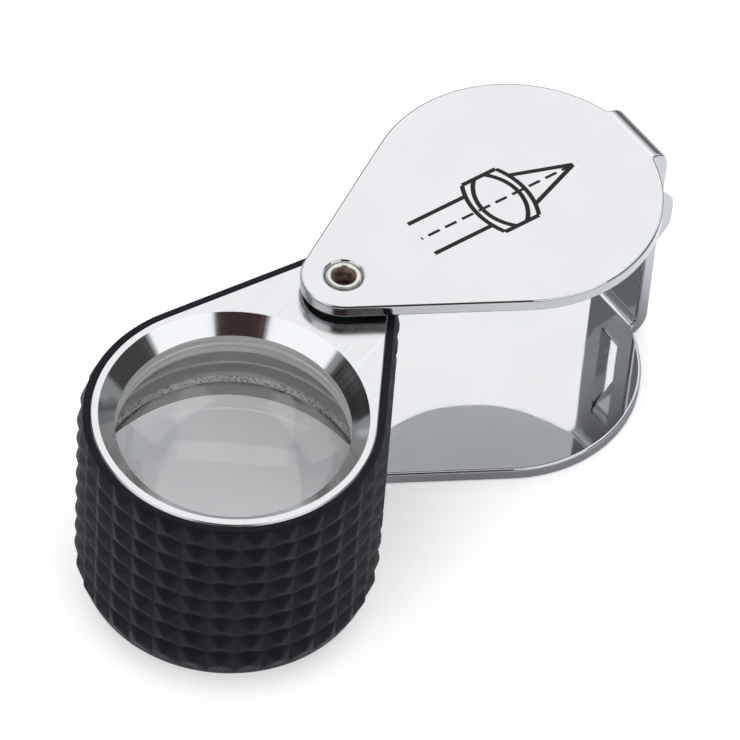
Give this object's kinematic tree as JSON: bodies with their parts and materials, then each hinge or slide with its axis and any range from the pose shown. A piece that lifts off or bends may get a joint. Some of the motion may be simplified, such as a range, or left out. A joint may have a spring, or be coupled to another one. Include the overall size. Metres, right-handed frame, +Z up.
{
  "type": "viewing loupe",
  "caption": "Folding pocket loupe: a thick lens in a teardrop housing with a studded rubber grip, swinging on a hollow rivet out of a folded steel case.",
  "frame": {"origin": "on the pivot axis, level with the underside of the case", "axes": "+X along the case from the pivot to its folded spine, +Z up the pivot axis, +Y to the left of +X; the lens body rests swung open at -157.4 degrees from its closed direction, which is +X"},
  "size_m": [0.0583, 0.0294, 0.0215],
  "materials": {
    "case_chrome": "polished",
    "rivet_nickel": "polished",
    "washer_black": "satin",
    "spring_steel": "satin",
    "housing_steel": "satin",
    "grip_rubber": "matte",
    "cell_aluminium": "satin",
    "ring_black": "satin",
    "optical_glass": "polished"
  },
  "bodies": {
    "case": {"cover": "case_chrome", "pivot_rivet": "rivet_nickel", "upper_washer": "washer_black", "lower_washer": "washer_black", "spring_washer": "spring_steel"},
    "lens_body": {"lens_housing": "housing_steel", "rubber_grip": "grip_rubber", "lens_cell": "cell_aluminium", "retaining_ring": "ring_black", "upper_lens": "optical_glass", "middle_lens": "optical_glass", "lower_lens": "optical_glass"}
  },
  "joints": [
    {"name": "swing", "type": "hinge", "parent": "case", "child": "lens_body", "pos_m": [0, 0, 0], "axis": [0, 0, 1], "continuous": true}
  ]
}
